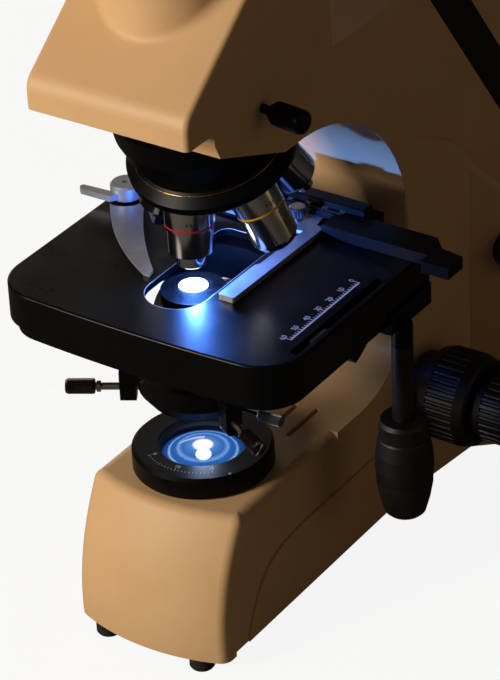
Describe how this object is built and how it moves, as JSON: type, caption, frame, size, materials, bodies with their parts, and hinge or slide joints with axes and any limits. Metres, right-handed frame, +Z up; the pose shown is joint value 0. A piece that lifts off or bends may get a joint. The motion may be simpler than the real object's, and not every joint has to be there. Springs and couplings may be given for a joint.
{
  "type": "trinocular microscope",
  "caption": "Upright trinocular laboratory microscope with revolving nosepiece, mechanical stage, centring condenser and built-in LED light, all controls moving",
  "frame": {"origin": "on the bench under the middle of the whole object", "axes": "+Z up, the user sits at -Y, +X to the user's right"},
  "size_m": [0.2296, 0.3753, 0.4788],
  "materials": {
    "enamel": "cream stoving enamel, satin",
    "trim": "black inlaid band",
    "black_metal": "black anodised, satin",
    "black_plastic": "black knob plastic",
    "steel": "brushed stainless steel",
    "chrome": "bright chrome plating",
    "rubber": "soft black rubber",
    "glass": "coated optical glass",
    "aluminium": "turned aluminium"
  },
  "bodies": {
    "stand": {"base_housing": "enamel", "base_plate": "steel", "rubber_feet": "rubber", "arm_casting": "enamel", "arm_trim_band": "trim", "nosepiece_mount": "black_metal", "field_lens_mount": "black_metal", "field_lens": "glass", "led_lamp": "aluminium", "focus_guide": "black_metal", "inlet_socket": "black_plastic"},
    "field_ring": {"field_iris_ring": "black_metal"},
    "turret": {"nosepiece_turret": "black_metal", "objective_4x": "chrome", "objective_10x": "chrome", "objective_20x": "chrome", "objective_40x": "chrome", "objective_100x": "chrome"},
    "head": {"head_housing": "enamel", "head_spigot": "steel", "phototube": "black_metal", "hinge_pin": "steel"},
    "left_eye": {"prism_housing_left": "enamel", "eyepiece_tube_left": "enamel", "eyepiece_left": "black_metal", "eyecup_left": "rubber"},
    "diopter": {"diopter_ring": "black_plastic"},
    "right_eye": {"prism_housing_right": "enamel", "eyepiece_tube_right": "enamel", "eyepiece_right": "black_metal", "eyecup_right": "rubber"},
    "splitter": {"beam_splitter_rod": "black_plastic"},
    "lock": {"head_lock_screw": "black_metal"},
    "coarse": {"coarse_sleeve": "steel", "coarse_knob_right": "black_plastic", "coarse_knob_left": "black_plastic"},
    "fine": {"fine_shaft": "steel", "fine_knob_right": "black_plastic", "fine_knob_left": "black_plastic"},
    "tension": {"tension_collar": "black_plastic"},
    "stage": {"stage_bracket": "black_metal", "stage_lower_plate": "black_metal"},
    "stage_y": {"stage_top_plate": "black_metal", "x_guide_block": "black_metal", "drive_bracket": "black_metal"},
    "stage_x": {"x_slide_bar": "black_metal", "specimen_arm": "steel", "thumb_screws": "steel"},
    "finger": {"specimen_finger": "steel"},
    "x_drive": {"x_drive_knob": "black_plastic"},
    "y_drive": {"y_drive_knob": "black_plastic"},
    "condenser": {"condenser_carrier": "black_metal", "condenser_body": "black_metal", "condenser_top_lens": "glass"},
    "screw_left": {"centring_screw_left": "steel"},
    "screw_right": {"centring_screw_right": "steel"},
    "iris": {"iris_ring": "black_metal"},
    "condenser_drive": {"condenser_knob": "black_plastic"},
    "switch": {"power_switch": "black_plastic"},
    "dial": {"brightness_dial": "black_plastic"}
  },
  "joints": [
    {"name": "turret_turn", "type": "hinge", "parent": "stand", "child": "turret", "pos_m": [0, -0.0539, 0.3086], "axis": [0, 0.3289, -0.9444], "continuous": true},
    {"name": "field_iris_turn", "type": "hinge", "parent": "stand", "child": "field_ring", "pos_m": [0, -0.0539, 0.09], "axis": [0, 0, 1], "range_deg": [-45, 45]},
    {"name": "head_turn", "type": "hinge", "parent": "stand", "child": "head", "pos_m": [0, -0.0539, 0.2955], "axis": [0, 0, 1], "continuous": true},
    {"name": "pupil_right", "type": "hinge", "parent": "head", "child": "right_eye", "pos_m": [0, -0.0539, 0.366], "axis": [0, -0.866, 0.5], "range_deg": [-20.7, 13.7]},
    {"name": "pupil_left", "type": "hinge", "parent": "head", "child": "left_eye", "pos_m": [0, -0.0539, 0.366], "axis": [0, -0.866, 0.5], "range_deg": [-13.7, 20.7]},
    {"name": "diopter_turn", "type": "hinge", "parent": "left_eye", "child": "diopter", "pos_m": [-0.032, -0.11568, 0.42639], "axis": [0, -0.866, 0.5], "range_deg": [-90, 90]},
    {"name": "splitter_pull", "type": "slide", "parent": "head", "child": "splitter", "axis": [-1, 0, 0], "range_m": [0, 0.012]},
    {"name": "lock_turn", "type": "hinge", "parent": "stand", "child": "lock", "pos_m": [0.044, -0.0529, 0.2907], "axis": [0.9962, 0, -0.0872], "range_deg": [-180, 180]},
    {"name": "stage_focus", "type": "slide", "parent": "stand", "child": "stage", "axis": [0, 0, 1], "range_m": [-0.018, 0.0012]},
    {"name": "coarse_turn", "type": "hinge", "parent": "stand", "child": "coarse", "pos_m": [0, 0.0791, 0.07], "axis": [1, 0, 0], "range_deg": [-172, 12]},
    {"name": "fine_turn", "type": "hinge", "parent": "stand", "child": "fine", "pos_m": [0, 0.0791, 0.07], "axis": [1, 0, 0], "continuous": true},
    {"name": "tension_turn", "type": "hinge", "parent": "stand", "child": "tension", "pos_m": [0.052, 0.0791, 0.07], "axis": [1, 0, 0], "range_deg": [0, 60]},
    {"name": "stage_y_slide", "type": "slide", "parent": "stage", "child": "stage_y", "axis": [0, 1, 0], "range_m": [-0.036, 0.01]},
    {"name": "stage_x_slide", "type": "slide", "parent": "stage_y", "child": "stage_x", "axis": [1, 0, 0], "range_m": [-0.022, 0.054]},
    {"name": "finger_swing", "type": "hinge", "parent": "stage_x", "child": "finger", "pos_m": [-0.075, -0.0034, 0.195], "axis": [0, 0, 1], "range_deg": [-32, 0], "stiffness_Nm_per_rad": 0.03, "springref_deg": 11.46},
    {"name": "y_drive_turn", "type": "hinge", "parent": "stage_y", "child": "y_drive", "pos_m": [0.085, -0.0019, 0.1], "axis": [0, 0, 1], "range_deg": [-345, 96]},
    {"name": "x_drive_turn", "type": "hinge", "parent": "stage_y", "child": "x_drive", "pos_m": [0.085, -0.0019, 0.1], "axis": [0, 0, 1], "range_deg": [-158, 387]},
    {"name": "condenser_slide", "type": "slide", "parent": "stage", "child": "condenser", "axis": [0, 0, 1], "range_m": [-0.005, 0]},
    {"name": "condenser_knob_turn", "type": "hinge", "parent": "condenser", "child": "condenser_drive", "pos_m": [-0.02, -0.0059, 0.134], "axis": [1, 0, 0], "range_deg": [-58, 0]},
    {"name": "iris_turn", "type": "hinge", "parent": "condenser", "child": "iris", "pos_m": [0, -0.0539, 0.1215], "axis": [0, 0, 1], "range_deg": [-8, 50]},
    {"name": "centring_left_turn", "type": "hinge", "parent": "condenser", "child": "screw_left", "pos_m": [-0.03464, -0.0739, 0.1273], "axis": [-0.866, -0.5, 0], "range_deg": [-180, 180]},
    {"name": "centring_right_turn", "type": "hinge", "parent": "condenser", "child": "screw_right", "pos_m": [0.03464, -0.0739, 0.1273], "axis": [0.866, -0.5, 0], "range_deg": [-180, 180]},
    {"name": "switch_rock", "type": "hinge", "parent": "stand", "child": "switch", "pos_m": [0.024, 0.1831, 0.034], "axis": [1, 0, 0], "range_deg": [-16, 0]},
    {"name": "dial_turn", "type": "hinge", "parent": "stand", "child": "dial", "pos_m": [0.067, 0.1396, 0.128], "axis": [0.7926, -0.6097, 0], "range_deg": [0, 270]}
  ],
  "couplings": [
    {"joint": "pupil_left", "follows": "pupil_right", "ratio": -1},
    {"joint": "coarse_turn", "follows": "stage_focus", "rad_per_m": 166.67},
    {"joint": "y_drive_turn", "follows": "stage_y_slide", "rad_per_m": 166.67},
    {"joint": "x_drive_turn", "follows": "stage_x_slide", "rad_per_m": 125},
    {"joint": "condenser_knob_turn", "follows": "condenser_slide", "rad_per_m": 200}
  ]
}
